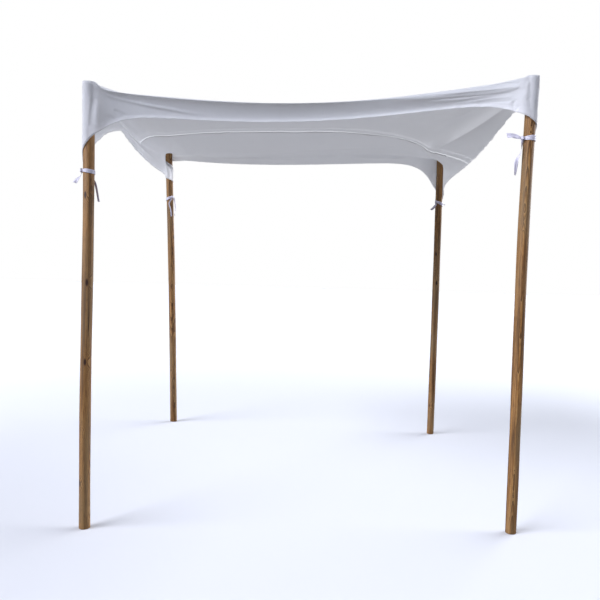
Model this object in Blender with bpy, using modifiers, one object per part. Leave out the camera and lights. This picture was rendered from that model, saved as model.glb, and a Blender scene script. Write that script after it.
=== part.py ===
# Chuppah canopy: a square of white stretch cloth laid over four wooden poles and tied to each one.
# Metres, +Z up, origin on the floor at the middle of the footprint. The front is at -Y.
import math

import bmesh
import bpy
import numpy as np

# Poles: round sawn stakes, each a little crooked and leaning. Dip is how far the cloth falls away round
# the pole's end.
poleRadius = 0.030
poleSides = 20
poleRings = 6
poleEdgeRound = 0.003
poles = {
    "front_left": {
        "foot": (-1.107, -1.217), "top": (-1.135, -1.146, 2.363), "bow": 0.0020, "sway": -0.0040, "dip": 0.034,
    },
    "front_right": {
        "foot": (1.199, -1.102), "top": (1.179, -1.202, 2.434), "bow": -0.0085, "sway": 0.0030, "dip": 0.002,
    },
    "back_left": {
        "foot": (-1.123, 1.217), "top": (-1.195, 1.149, 2.385), "bow": 0.0050, "sway": 0.0, "dip": 0.008,
    },
    "back_right": {
        "foot": (1.162, 1.046), "top": (1.180, 1.151, 2.405), "bow": 0.0020, "sway": 0.0, "dip": 0.008,
    },
}

# Cloth. u runs left to right and v front to back, both from -1 at one hem to 1 at the other.
clothThick = 0.003
touchGap = 0.0003
foldAt = 0.88
rollStart = 0.72
foldRing = 0.86
hemStart = 0.985
panelEdge = 0.74
centreSag = 0.017
hoodRadius = poleRadius + 0.0062
foldRadius = poleRadius + 0.0064
restRadius = poleRadius + 0.0180

# Each edge runs from its first pole to its second. Sag is how far the fold drops below the straight line
# between the pole tops, pull is how far the edge draws in, and depth is the hem below the fold. Drops are
# how much lower the hem hangs at each pole, dying away over reach. A high power keeps the sag near the edge,
# and a high pull power draws the edge in near its middle. Peak lifts the hem by its first value, at its
# second, over its third.
edges = {
    "front": {
        "ends": ("front_left", "front_right"), "sag": 0.075, "skew": 0.087, "power": 3.1, "foldPull": 0.111,
        "hemPull": 0.148, "pullPower": 1.0, "foldTurn": 14, "skirtTurn": 90, "depth": 0.090, "tilt": -0.0205,
        "drops": (0.224, 0.167), "reach": (0.082, 0.117), "peak": (0.0, 0.0, 0.1),
    },
    "right": {
        "ends": ("front_right", "back_right"), "sag": 0.164, "skew": -0.50, "power": 2.9, "foldPull": 0.281,
        "hemPull": 0.044, "pullPower": 1.63, "foldTurn": 31, "skirtTurn": 31, "depth": 0.086, "tilt": 0.133,
        "drops": (0.330, 0.124), "reach": (0.103, 0.169), "peak": (0.0, 0.0, 0.1),
    },
    "back": {
        "ends": ("back_left", "back_right"), "sag": 0.045, "skew": -0.60, "power": 4.0, "foldPull": 0.220,
        "hemPull": 0.040, "pullPower": 1.0, "foldTurn": 30, "skirtTurn": 30, "depth": 0.0295, "tilt": -0.007,
        "drops": (0.0205, 0.339), "reach": (0.020, 0.090), "peak": (0.0, 0.0, 0.1),
    },
    "left": {
        "ends": ("front_left", "back_left"), "sag": 0.0715, "skew": 0.027, "power": 3.3, "foldPull": 0.0325,
        "hemPull": 0.030, "pullPower": 1.0, "foldTurn": 40, "skirtTurn": 40, "depth": 0.125, "tilt": 0.053,
        "drops": (0.351, 0.0585), "reach": (0.191, 0.112), "peak": (0.072, -0.476, 0.255),
    },
}
tipReach = 0.018
hugReach = 0.10
wrapReach = 0.045
gather = 0.30
cornerReach = 0.20
bendShare = 0.33
shoulderRise = 0.40
shoulderGain = 0.45
shoulderReach = 0.05
capSlope = 0.30
capRange = 0.35
dipReach = 0.045
slopeStep = 1e-4
normalStep = 2e-3
ringSlack = 1e-6
edgeWays = {
    "front": ((0, -1), (1, 0)),
    "back": ((0, 1), (1, 0)),
    "left": ((-1, 0), (0, 1)),
    "right": ((1, 0), (0, 1)),
}

# Seam between the two widths of cloth. Its half width is in v, and comes to about 7 mm.
seamHalf = 0.0057
seamThick = 0.0012

# Ribbon ties. Drop is from the pole's top to the middle of the band. Places are an angle round the pole,
# a distance from its middle and a drop below the band; angles go from the right side round to the back.
ribbonThick = 0.0015
bandGap = 0.0005
bandThick = 0.0065
tailWidth = 0.020
bandSides = 20
knotSize = (0.012, 0.022, 0.022)
knotRound = 0.003
ties = {
    "front_left": {"drop": 0.467, "width": 0.029, "knot": 170.0, "tails": (
        {"face": None, "path": ((172, 0.0412, 0.0130), (174, 0.045, 0.022), (181, 0.056, 0.040),
                                (184, 0.074, 0.062))},
        {"face": None, "path": ((151.5, 0.0410, 0.004), (128, 0.040, 0.010), (95, 0.039, 0.024),
                                (60, 0.039, 0.052), (30, 0.041, 0.088), (8, 0.052, 0.158))},
    )},
    "front_right": {"drop": 0.325, "width": 0.034, "knot": 200.0, "tails": (
        {"face": (0, -1, 0), "path": ((200, 0.0528, 0.0), (190, 0.080, -0.010), (184, 0.118, -0.014))},
        {"face": None, "path": ((200, 0.0420, 0.0116), (198, 0.044, 0.070), (191, 0.062, 0.115),
                                (190, 0.066, 0.190))},
    )},
    "back_left": {"drop": 0.390, "width": 0.034, "knot": 305.0, "tails": (
        {"face": None, "path": ((303, 0.0415, 0.0132), (286, 0.040, 0.080), (290, 0.040, 0.160))},
        {"face": None, "path": ((338, 0.0381, 0.004), (344, 0.046, 0.060), (338, 0.044, 0.155))},
    )},
    "back_right": {"drop": 0.400, "width": 0.036, "knot": 225.0, "tails": (
        {"face": None, "path": ((224, 0.0412, 0.0121), (222, 0.044, 0.024), (208, 0.058, 0.044),
                                (198, 0.074, 0.062))},
        {"face": None, "path": ((243, 0.0410, 0.002), (290, 0.042, 0.010), (330, 0.056, 0.020))},
    )},
}
colours = {
    "wood": ((0.250, 0.165, 0.100, 1.0), 0.75),
    "cloth": ((0.820, 0.835, 0.870, 1.0), 0.85),
    "ribbon": ((0.800, 0.780, 0.830, 1.0), 0.70),
}


def bernstein(order, index, t):
    return math.comb(order, index) * t**index * (1 - t) ** (order - index)


def poleAxis(name, z):
    """The middle of a pole at height z, as an (x, y) pair."""
    pole = poles[name]
    share = z / pole["top"][2]
    bend = pole["bow"] * math.sin(math.pi * share) + pole["sway"] * math.sin(2 * math.pi * share)
    x = pole["foot"][0] + (pole["top"][0] - pole["foot"][0]) * share + bend
    y = pole["foot"][1] + (pole["top"][1] - pole["foot"][1]) * share
    return np.array((x, y))


def cornerMix(a, b):
    """Pole tops mixed across the square, a and b from -1 to 1."""
    names = ("front_left", "front_right", "back_left", "back_right")
    shares = ((1 - a) * (1 - b), (1 + a) * (1 - b), (1 - a) * (1 + b), (1 + a) * (1 + b))
    tops = [np.array(poles[n]["top"]) - (0, 0, poles[n]["dip"]) for n in names]
    return sum(top * share / 4 for top, share in zip(tops, shares))


def topPoint(u, v):
    """The stretched top: the pole tops mixed, with the middle and the four edges drooping."""
    a, b = u / foldAt, v / foldAt
    point = cornerMix(a, b)
    point[2] += touchGap - centreSag * (1 - a * a) * (1 - b * b)
    for side, out in (("front", -b), ("back", b), ("right", a), ("left", -a)):
        along = a if side in ("front", "back") else b
        edge = edges[side]
        near = max(0.0, out) ** edge["power"]
        middle = 1 - along * along
        point[2] -= edge["sag"] * middle * (1 + edge["skew"] * along) * near
        drawn = max(0.0, middle) ** edge["pullPower"]
        point[:2] -= np.array(edgeWays[side][0]) * edge["foldPull"] * drawn * near
    return point


def edgePoint(side, s, z, radius, pull):
    """A point of an edge: round the pole at its ends, drawn in between them."""
    first, second = edges[side]["ends"]
    out, alongWay = edgeWays[side]
    toEnd = 1 - abs(s)
    hug = math.exp(-((toEnd / hugReach) ** 2))
    turn = min(1.0, max(0.0, 1 - toEnd / wrapReach))
    drawn = pull * max(0.0, 1 - s * s) ** edges[side]["pullPower"]
    offset = np.array(out) * (radius * (hug * (1 - turn) + math.sqrt(0.5) * turn) - drawn)
    offset += np.array(alongWay) * math.copysign(radius * math.sqrt(0.5) * turn, s)
    share = (1 + s) / 2
    plan = poleAxis(first, z) * (1 - share) + poleAxis(second, z) * share + offset
    return np.array((plan[0], plan[1], z))


def foldHeight(side, s):
    """The fold's height: a drooping line between the pole tops that falls away from each of them."""
    edge = edges[side]
    first, second = (poles[name] for name in edge["ends"])
    share = (1 + s) / 2
    line = first["top"][2] * (1 - share) + second["top"][2] * share
    dip = (first["dip"] * (1 - share) + second["dip"] * share) * (1 - nearPole(s, dipReach))
    return line + touchGap - dip - edge["sag"] * (1 - s * s) * (1 + edge["skew"] * s)


def plainDepth(side, s):
    edge = edges[side]
    depth = edge["depth"] + edge["tilt"] * s
    depth += edge["drops"][0] * math.exp(-(1 + s) / edge["reach"][0])
    depth += edge["drops"][1] * math.exp(-(1 - s) / edge["reach"][1])
    rise, place, width = edge["peak"]
    return depth - rise * math.exp(-abs(s - place) / width)


def hemDepth(side, s):
    """The hem below the fold. At each pole its tip runs down to the top of the tie."""
    depth = plainDepth(side, s)
    for end, name in zip((-1, 1), edges[side]["ends"]):
        tie = ties[name]
        tip = tie["drop"] - tie["width"] / 2 - touchGap
        depth += (tip - plainDepth(side, end)) * math.exp(-abs(s - end) / tipReach)
    return depth


def nearPole(s, reach):
    """How close a place on an edge is to a pole, from 0 between the poles to 1 at one."""
    return math.exp(-(((1 - abs(s)) / reach) ** 2))


def cubic(points, t):
    return sum(p * bernstein(3, i, t) for i, p in enumerate(points))


def clothPoint(u, v):
    """The underside of the cloth at u, v: the flat top, then the roll over the fold and down to the hem."""
    u, v = min(1.0, max(-1.0, u)), min(1.0, max(-1.0, v))
    ring = max(abs(u), abs(v))
    if ring <= rollStart:
        return topPoint(u, v)
    if abs(v) >= abs(u):
        side, s = ("front" if v < 0 else "back"), u / ring
    else:
        side, s = ("left" if u < 0 else "right"), v / ring
    edge = edges[side]
    startU, startV = u / ring, v / ring
    s *= 1 + gather * (1 - s * s)
    corner = nearPole(s, cornerReach)
    foldZ = foldHeight(side, s)
    fold = edgePoint(side, s, foldZ, foldRadius, edge["foldPull"])
    outward = np.array((*edgeWays[side][0], 0))
    if ring <= foldRing:
        start = topPoint(startU * rollStart, startV * rollStart)
        before = topPoint(startU * (rollStart - slopeStep), startV * (rollStart - slopeStep))
        leave = start + (start - before) / slopeStep * (foldRing - rollStart) / 3
        span = np.linalg.norm(fold - start)
        turn = math.radians(edge["foldTurn"]) * (1 - corner)
        inward = (start - fold) * (1, 1, 0)
        inward = inward / np.linalg.norm(inward) * math.cos(turn)
        inward[2] = math.sin(turn)
        t = (ring - rollStart) / (foldRing - rollStart)
        point = cubic((start, leave, fold + inward * span * bendShare, fold), t)
    else:
        hemZ = foldZ - hemDepth(side, s)
        hem = edgePoint(side, s, hemZ, hoodRadius, edge["hemPull"])
        turn = math.radians(edge["skirtTurn"] + (90 - edge["skirtTurn"]) * corner)
        away = outward * math.cos(turn)
        away[2] = -math.sin(turn)
        lift = shoulderRise + shoulderGain * nearPole(s, shoulderReach)
        shoulder = edgePoint(side, s, hemZ + (foldZ - hemZ) * lift, hoodRadius, edge["hemPull"])
        t = (ring - foldRing) / (1 - foldRing)
        point = cubic((fold, fold + away * (foldZ - hemZ) * bendShare, shoulder, hem), t)
    return clearPole(point, ring)


def clearPole(point, ring):
    """Lifts the cloth over a pole's flat end, and keeps it outside the pole below that."""
    for name, pole in poles.items():
        top = pole["top"][2]
        away = point[:2] - poleAxis(name, min(point[2], top))
        distance = math.hypot(*away)
        if distance > capRange:
            continue
        if ring <= foldRing + ringSlack:
            clear = max(0.0, distance - restRadius)
            slack = capSlope * clear
            point[2] = max(point[2], top + 1.5 * touchGap - slack)
        if ring >= foldRing - ringSlack and distance < hoodRadius:
            point[:2] += away / distance * (hoodRadius - distance)
    return point


def clothNormal(u, v):
    """The way out of the cloth at u, v: the mean of the four facets that meet there."""
    point = clothPoint(u, v)
    across = [(clothPoint(u + way * normalStep, v) - point) * way for way in (1, -1)]
    along = [(clothPoint(u, v + way * normalStep) - point) * way for way in (1, -1)]
    total = np.zeros(3)
    for a in across:
        for b in along:
            facet = np.cross(a, b)
            size = np.linalg.norm(facet)
            if size > 1e-9:
                total += facet / size
    return total / np.linalg.norm(total)


def newMaterial(name):
    material = bpy.data.materials.new(name)
    material.use_nodes = True
    colour, roughness = colours[name.split("_")[0]]
    shader = material.node_tree.nodes["Principled BSDF"]
    shader.inputs["Base Color"].default_value = colour
    shader.inputs["Roughness"].default_value = roughness
    material.diffuse_color = colour
    return material


def newObject(name, bm, kind):
    bmesh.ops.recalc_face_normals(bm, faces=bm.faces)
    mesh = bpy.data.meshes.new(name)
    bm.to_mesh(mesh)
    bm.free()
    obj = bpy.data.objects.new(name, mesh)
    obj.data.materials.append(newMaterial(kind + "_" + name))
    parts.objects.link(obj)
    return obj


def thickSheet(name, kind, rows, columns, place):
    """A closed sheet. place(i, j) gives its lower point, its normal and its two offsets along that."""
    bm = bmesh.new()
    out = bm.verts.layers.float_vector.new("out")
    order = bm.verts.layers.int.new("order")
    bmesh.ops.create_grid(bm, x_segments=columns, y_segments=rows, size=0.5)
    for vert in bm.verts:
        i = round((vert.co.x + 0.5) * columns)
        j = round((vert.co.y + 0.5) * rows)
        point, normal, low, high = place(i, j)
        vert.co = point + normal * low
        vert[out] = normal * (high - low)
        vert[order] = i + j
    made = bmesh.ops.extrude_face_region(bm, geom=bm.faces[:], use_keep_orig=True)
    upper = {vert for vert in made["geom"] if isinstance(vert, bmesh.types.BMVert)}
    for vert in upper:
        vert.co += vert[out]
    # The rim's faces are split the same way on two sheets that meet, so the twisted ones lie side by side.
    for face in [f for f in bm.faces if 0 < sum(v in upper for v in f.verts) < 4]:
        start = min((v for v in face.verts if v not in upper), key=lambda v: v[order])
        end = max((v for v in face.verts if v in upper), key=lambda v: v[order])
        bmesh.ops.connect_verts(bm, verts=[start, end])
    return newObject(name, bm, kind)


def clothPiece(name, us, vs, low=0.0, high=clothThick):
    def place(i, j):
        return clothPoint(us[i], vs[j]), clothNormal(us[i], vs[j]), low, high
    return thickSheet(name, "cloth", len(vs) - 1, len(us) - 1, place)


def between(lines, low, high, gaps):
    """The grid lines from low to high, with each end drawn in by its gap."""
    inner = [x for x in lines if low + ringSlack < x < high - ringSlack]
    return [low + gaps[0]] + inner + [high - gaps[1]]


def makePole(name):
    bm = bmesh.new()
    bmesh.ops.create_cone(bm, cap_ends=True, segments=poleSides, radius1=poleRadius, radius2=poleRadius, depth=1)
    upright = [e for e in bm.edges if abs(e.verts[0].co.z - e.verts[1].co.z) > 0.5]
    bmesh.ops.subdivide_edges(bm, edges=upright, cuts=poleRings - 1)
    height = poles[name]["top"][2]
    for vert in bm.verts:
        z = (vert.co.z + 0.5) * height
        middle = poleAxis(name, z)
        vert.co = (vert.co.x + middle[0], vert.co.y + middle[1], z)
    obj = newObject("pole_" + name, bm, "wood")
    bevel = obj.modifiers.new("rounded ends", "BEVEL")
    bevel.width = poleEdgeRound
    bevel.segments = 2
    bevel.limit_method = "ANGLE"
    bevel.angle_limit = math.radians(50)
    obj.data.shade_smooth()
    obj.data.set_sharp_from_angle(angle=math.radians(40))
    return obj


def aroundPole(name, angle, distance, drop):
    """A place by its angle round the pole, its distance from the pole's middle and its drop below the tie."""
    z = poles[name]["top"][2] - ties[name]["drop"] - drop
    middle = poleAxis(name, z)
    turn = math.radians(angle)
    return np.array((middle[0] + distance * math.cos(turn), middle[1] + distance * math.sin(turn), z))


def makeBand(name):
    half = ties[name]["width"] / 2
    inner = poleRadius + bandGap
    bm = bmesh.new()
    bmesh.ops.create_cone(bm, cap_ends=False, segments=bandSides, radius1=inner, radius2=inner, depth=1)
    outer = bmesh.ops.extrude_face_region(bm, geom=bm.faces[:], use_keep_orig=True)
    for vert in outer["geom"]:
        if isinstance(vert, bmesh.types.BMVert):
            vert.co.xy *= (inner + bandThick) / inner
    z = poles[name]["top"][2] - ties[name]["drop"]
    for vert in bm.verts:
        level = z + vert.co.z * 2 * half
        middle = poleAxis(name, level)
        vert.co = (vert.co.x + middle[0], vert.co.y + middle[1], level)
    return newObject("tie_band_" + name, bm, "ribbon")


def makeKnot(name):
    bm = bmesh.new()
    bmesh.ops.create_cube(bm, size=1)
    for vert in bm.verts:
        vert.co.x *= knotSize[0]
        vert.co.y *= knotSize[1]
        vert.co.z *= knotSize[2]
    bmesh.ops.bevel(bm, geom=bm.edges[:], offset=knotRound, segments=2, profile=0.5, affect="EDGES")
    obj = newObject("tie_knot_" + name, bm, "ribbon")
    distance = poleRadius + bandGap + bandThick + touchGap + knotSize[0] / 2
    obj.location = aroundPole(name, ties[name]["knot"], distance, 0)
    obj.rotation_euler.z = math.radians(ties[name]["knot"])
    return obj


def smoothPath(points, count):
    """Points along a smooth curve through the given ones."""
    padded = [2 * points[0] - points[1]] + list(points) + [2 * points[-1] - points[-2]]
    path = []
    for n in range(count + 1):
        place = n / count * (len(points) - 1)
        i = min(int(place), len(points) - 2)
        t = place - i
        a, b, c, d = padded[i:i + 4]
        path.append(0.5 * (2 * b + (c - a) * t + (2 * a - 5 * b + 4 * c - d) * t**2
                           + (3 * b - a - 3 * c + d) * t**3))
    return path


def makeTail(name, index):
    tail = ties[name]["tails"][index]
    steps = 4 * (len(tail["path"]) - 1)
    polar = smoothPath([np.array(p, dtype=float) for p in tail["path"]], steps)
    path = [aroundPole(name, *p) for p in polar]

    def place(i, j):
        ahead = path[min(i + 1, steps)] - path[max(i - 1, 0)]
        ahead = ahead / np.linalg.norm(ahead)
        if tail["face"]:
            face = np.array(tail["face"], dtype=float)
        else:
            turn = math.radians(polar[i][0])
            face = np.array((math.cos(turn), math.sin(turn), 0))
        face = face - ahead * (face @ ahead)
        face = face / np.linalg.norm(face)
        side = np.cross(ahead, face)
        return path[i] + side * tailWidth * (j - 0.5), face, -ribbonThick / 2, ribbonThick / 2
    return thickSheet("tie_tail_" + name + "_" + str(index + 1), "ribbon", 1, steps, place)


for old in list(bpy.data.objects):
    bpy.data.objects.remove(old, do_unlink=True)
parts = bpy.data.collections.new("chuppah_canopy")
bpy.context.scene.collection.children.link(parts)

for poleName in poles:
    makePole(poleName)

# Grid lines, closer together where the cloth bends.
lines = (0.0, seamHalf, 0.18, 0.36, 0.52, 0.64, 0.74, 0.78, 0.80, 0.815, 0.83, 0.84, 0.85, 0.86, 0.875, 0.89,
         0.91, 0.93, 0.95, 0.97, 0.985)
lines = sorted({-x for x in lines} | set(lines))
slit = 0.0002
hemSlit = 0.0005
rim = hemStart
acrossTop = between(lines, -panelEdge, panelEdge, (slit, slit))
frontHalf = between(lines, -panelEdge, 0, (slit, slit))
backHalf = between(lines, 0, panelEdge, (slit, slit))
lowRoll = between(lines, -rim, -panelEdge, (hemSlit, slit))
highRoll = between(lines, panelEdge, rim, (slit, hemSlit))
clothPiece("cloth_top_front", acrossTop, frontHalf)
clothPiece("cloth_top_back", acrossTop, backHalf)
clothPiece("skirt_front", acrossTop, lowRoll)
clothPiece("skirt_back", acrossTop, highRoll)
clothPiece("skirt_left_front", lowRoll, frontHalf)
clothPiece("skirt_left_back", lowRoll, backHalf)
clothPiece("skirt_right_front", highRoll, frontHalf)
clothPiece("skirt_right_back", highRoll, backHalf)
clothPiece("hood_front_left", lowRoll, lowRoll)
clothPiece("hood_front_right", highRoll, lowRoll)
clothPiece("hood_back_left", lowRoll, highRoll)
clothPiece("hood_back_right", highRoll, highRoll)

hemMiddle = (1 + rim) / 2
wholeWay = [-1.0, -hemMiddle] + lines + [hemMiddle, 1.0]
lowHem = [-1.0, -hemMiddle, -rim - hemSlit]
highHem = [rim + hemSlit, hemMiddle, 1.0]
hemWay = between(lines, -rim, rim, (hemSlit, hemSlit))
clothPiece("hem_front", wholeWay, lowHem)
clothPiece("hem_back", wholeWay, highHem)
clothPiece("hem_left", lowHem, hemWay)
clothPiece("hem_right", highHem, hemWay)
clothPiece("seam_centre", hemWay, [-seamHalf, 0.0, seamHalf], -touchGap - seamThick, -touchGap)

for tieName in ties:
    makeBand(tieName)
    makeKnot(tieName)
    makeTail(tieName, 0)
    makeTail(tieName, 1)
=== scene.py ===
import math

import bmesh
import bpy
import numpy as np
from mathutils import Matrix


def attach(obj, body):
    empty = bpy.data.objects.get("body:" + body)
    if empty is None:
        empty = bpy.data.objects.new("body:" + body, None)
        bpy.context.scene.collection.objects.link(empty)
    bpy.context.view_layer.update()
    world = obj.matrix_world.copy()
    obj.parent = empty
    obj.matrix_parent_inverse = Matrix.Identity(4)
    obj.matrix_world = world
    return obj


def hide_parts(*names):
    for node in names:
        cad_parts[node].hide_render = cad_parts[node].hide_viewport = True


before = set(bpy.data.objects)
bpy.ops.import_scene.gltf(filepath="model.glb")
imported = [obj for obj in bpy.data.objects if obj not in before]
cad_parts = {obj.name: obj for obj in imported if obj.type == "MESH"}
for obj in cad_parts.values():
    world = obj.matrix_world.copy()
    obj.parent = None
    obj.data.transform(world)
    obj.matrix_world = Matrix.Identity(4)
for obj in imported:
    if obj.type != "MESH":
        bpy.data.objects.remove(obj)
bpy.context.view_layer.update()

# Chuppah canopy: one square of white stretch cloth over four stained stakes, tied to each with a ribbon.
print("frame loaded:", len(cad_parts), "nodes")

# Camera in the photograph's place. Angles are in degrees.
view = {"place": (0.041, -4.647, 1.421), "yaw": -0.51, "pitch": -2.85, "roll": 1.60, "lens": 39.38}

# Soft daylight: a pale blue sky, brightest behind the canopy, a broad key light from the front left, and one
# from behind on the right that shines through the cloth. The backdrop that shows is plain white.
light = {"sky": "#d9e5ff", "front": 0.52, "back": 0.85, "zenith": 0.08, "backdrop": "#ffffff"}
suns = {
    "key": {"power": 4.1, "spread": 42, "tilt": (27, -58), "colour": "#eef2ff"},
    "rim": {"power": 4.3, "spread": 60, "tilt": (-25, 68), "colour": "#f4f7ff"},
}

# The floor shows as a pale one, and sends back less light than it shows, as grass or stone would.
floor = {"near": "#e4e4e6", "far": "#fbfbfb", "fadeFrom": 1.4, "fadeTo": 6.5, "bounce": "#7c7a78", "size": 80}

# Poles, as the frame has them: foot and top in plan, the top's height, a slight bow and sway, and how far
# the cloth falls away round the pole's end.
poleRadius = 0.030
poles = {
    "front_left": {"foot": (-1.107, -1.217), "top": (-1.135, -1.146, 2.363), "bow": 0.0020, "sway": -0.0040,
                   "dip": 0.034},
    "front_right": {"foot": (1.199, -1.102), "top": (1.179, -1.202, 2.434), "bow": -0.0085, "sway": 0.0030,
                   "dip": 0.002},
    "back_left": {"foot": (-1.123, 1.217), "top": (-1.195, 1.149, 2.385), "bow": 0.0050, "sway": 0.0,
                   "dip": 0.008},
    "back_right": {"foot": (1.162, 1.046), "top": (1.180, 1.151, 2.405), "bow": 0.0020, "sway": 0.0,
                   "dip": 0.008},
}
poleShape = {"sides": 40, "rings": 150, "edgeRound": 0.0035, "flats": 0.0007, "waves": 0.0005}

# The cloth. u runs left to right and v front to back, from -1 at one hem to 1 at the other.
cloth = {
    "thick": 0.0010, "hemThick": 0.0026, "touchGap": 0.0004, "foldAt": 0.88, "rollStart": 0.72,
    "foldRing": 0.86, "hemStart": 0.985, "centreSag": 0.017, "hoodGap": 0.0022, "foldGap": 0.0030,
    "restGap": 0.0080, "tipReach": 0.018, "hugReach": 0.10, "wrapReach": 0.045, "gather": 0.30,
    "cornerReach": 0.20, "bendShare": 0.33, "shoulderRise": 0.40, "shoulderGain": 0.45,
    "shoulderReach": 0.05, "capSlope": 1.0, "capRange": 0.35, "dipReach": 0.045, "grooveAt": 0.028,
    "metresPerUnit": 1.33,
}
# Each edge runs from its first pole to its second. The skirt leaves its fold at skirtTurn below the level,
# and at lastTurn near the second pole. Tuck draws the skirt in between its fold and its hem.
edges = {
    "front": {
        "ends": ("front_left", "front_right"), "sag": 0.075, "skew": 0.087, "power": 3.1, "foldPull": 0.111,
        "hemPull": 0.148, "pullPower": 1.0, "foldTurn": 14, "skirtTurn": 90, "lastTurn": 75,
        "depth": 0.090, "tilt": -0.0205,
        "drops": (0.224, 0.167), "reach": (0.082, 0.117), "tuck": 0.010, "peak": (0.0, 0.0, 0.1),
        "groove": 0.020, "grooveDrop": 0.045,
    },
    "right": {
        "ends": ("front_right", "back_right"), "sag": 0.164, "skew": -0.50, "power": 2.9, "foldPull": 0.281,
        "hemPull": 0.044, "pullPower": 1.63, "foldTurn": 31, "skirtTurn": 31, "lastTurn": 31,
        "depth": 0.086, "tilt": 0.133,
        "drops": (0.330, 0.124), "reach": (0.103, 0.169), "tuck": 0.0, "peak": (0.0, 0.0, 0.1),
        "groove": 0.0, "grooveDrop": 0.0,
    },
    "back": {
        "ends": ("back_left", "back_right"), "sag": 0.045, "skew": -0.60, "power": 4.0, "foldPull": 0.220,
        "hemPull": 0.040, "pullPower": 1.0, "foldTurn": 30, "skirtTurn": 30, "lastTurn": 30,
        "depth": 0.0295, "tilt": -0.007,
        "drops": (0.0205, 0.339), "reach": (0.020, 0.090), "tuck": 0.0, "peak": (0.0, 0.0, 0.1),
        "groove": 0.0, "grooveDrop": 0.0,
    },
    "left": {
        "ends": ("front_left", "back_left"), "sag": 0.0715, "skew": 0.027, "power": 3.3, "foldPull": 0.0325,
        "hemPull": 0.030, "pullPower": 1.0, "foldTurn": 40, "skirtTurn": 40, "lastTurn": 40,
        "depth": 0.125, "tilt": 0.053,
        "drops": (0.351, 0.0585), "reach": (0.191, 0.112), "tuck": 0.0, "peak": (0.072, -0.476, 0.255),
        "groove": 0.0, "grooveDrop": 0.0,
    },
}
# Each edge's way out and its way along, in plan.
edgeWays = {
    "front": ((0, -1), (1, 0)), "back": ((0, 1), (1, 0)), "left": ((-1, 0), (0, 1)), "right": ((1, 0), (0, 1)),
}

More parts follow.
